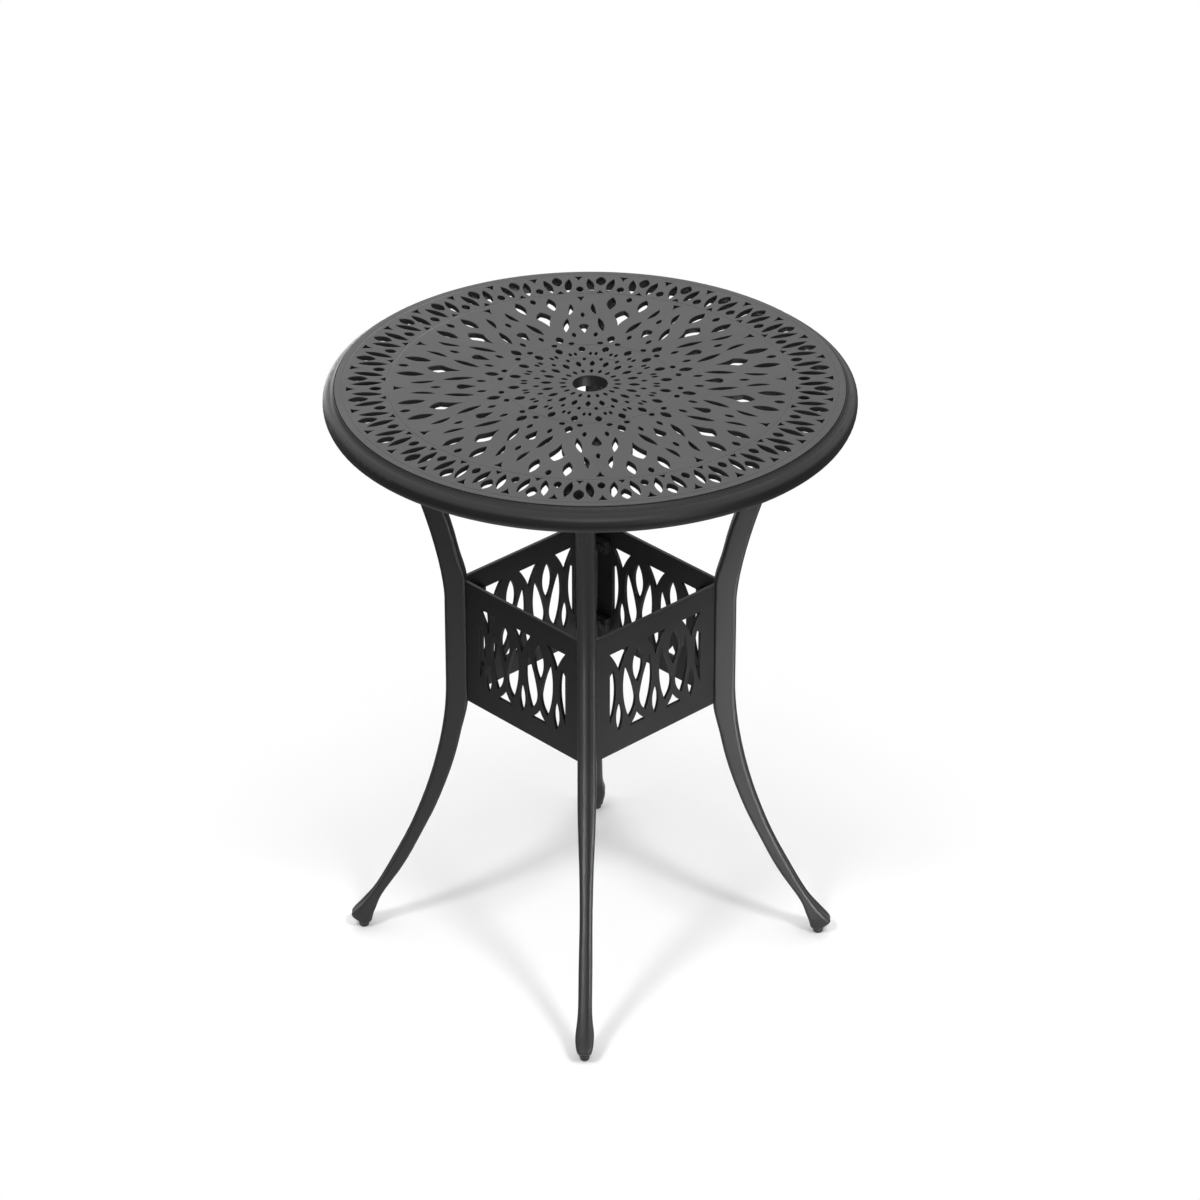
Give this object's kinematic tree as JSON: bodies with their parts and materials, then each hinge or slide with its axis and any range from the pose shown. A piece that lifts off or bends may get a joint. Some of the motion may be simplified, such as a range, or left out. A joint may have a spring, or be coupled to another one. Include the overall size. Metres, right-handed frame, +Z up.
{
  "type": "umbrella table",
  "caption": "Round openwork cast-aluminium patio table with an umbrella hole, bent legs, a lattice panel box between them and screw-in levelling glides.",
  "frame": {"origin": "on the floor under the middle of the umbrella hole", "axes": "+Z up; the legs stand on the X and Y axes, the front leg on -Y"},
  "size_m": [0.6002, 0.6002, 0.73],
  "materials": {
    "powder_coat": "satin charcoal powder coat on cast aluminium",
    "black_steel": "black-coated steel",
    "zinc_steel": "zinc-plated steel",
    "black_nylon": "moulded black nylon",
    "brass_insert": "turned brass"
  },
  "bodies": {
    "frame": {"table_top": "powder_coat", "leg_front": "powder_coat", "leg_right": "powder_coat", "leg_rear": "powder_coat", "leg_left": "powder_coat", "panel_front_right": "powder_coat", "panel_rear_right": "powder_coat", "panel_rear_left": "powder_coat", "panel_front_left": "powder_coat", "top_bolts": "black_steel", "top_washers": "black_steel", "panel_bolts": "black_steel", "panel_washers": "black_steel", "foot_inserts": "brass_insert"},
    "glide_front": {"glide_pad_front": "black_nylon", "glide_stud_front": "zinc_steel"},
    "glide_right": {"glide_pad_right": "black_nylon", "glide_stud_right": "zinc_steel"},
    "glide_rear": {"glide_pad_rear": "black_nylon", "glide_stud_rear": "zinc_steel"},
    "glide_left": {"glide_pad_left": "black_nylon", "glide_stud_left": "zinc_steel"}
  },
  "joints": [
    {"name": "glide_front_height", "type": "slide", "parent": "frame", "child": "glide_front", "axis": [0, 0, -1], "range_m": [0, 0.008]},
    {"name": "glide_right_height", "type": "slide", "parent": "frame", "child": "glide_right", "axis": [0, 0, -1], "range_m": [0, 0.008]},
    {"name": "glide_rear_height", "type": "slide", "parent": "frame", "child": "glide_rear", "axis": [0, 0, -1], "range_m": [0, 0.008]},
    {"name": "glide_left_height", "type": "slide", "parent": "frame", "child": "glide_left", "axis": [0, 0, -1], "range_m": [0, 0.008]}
  ]
}
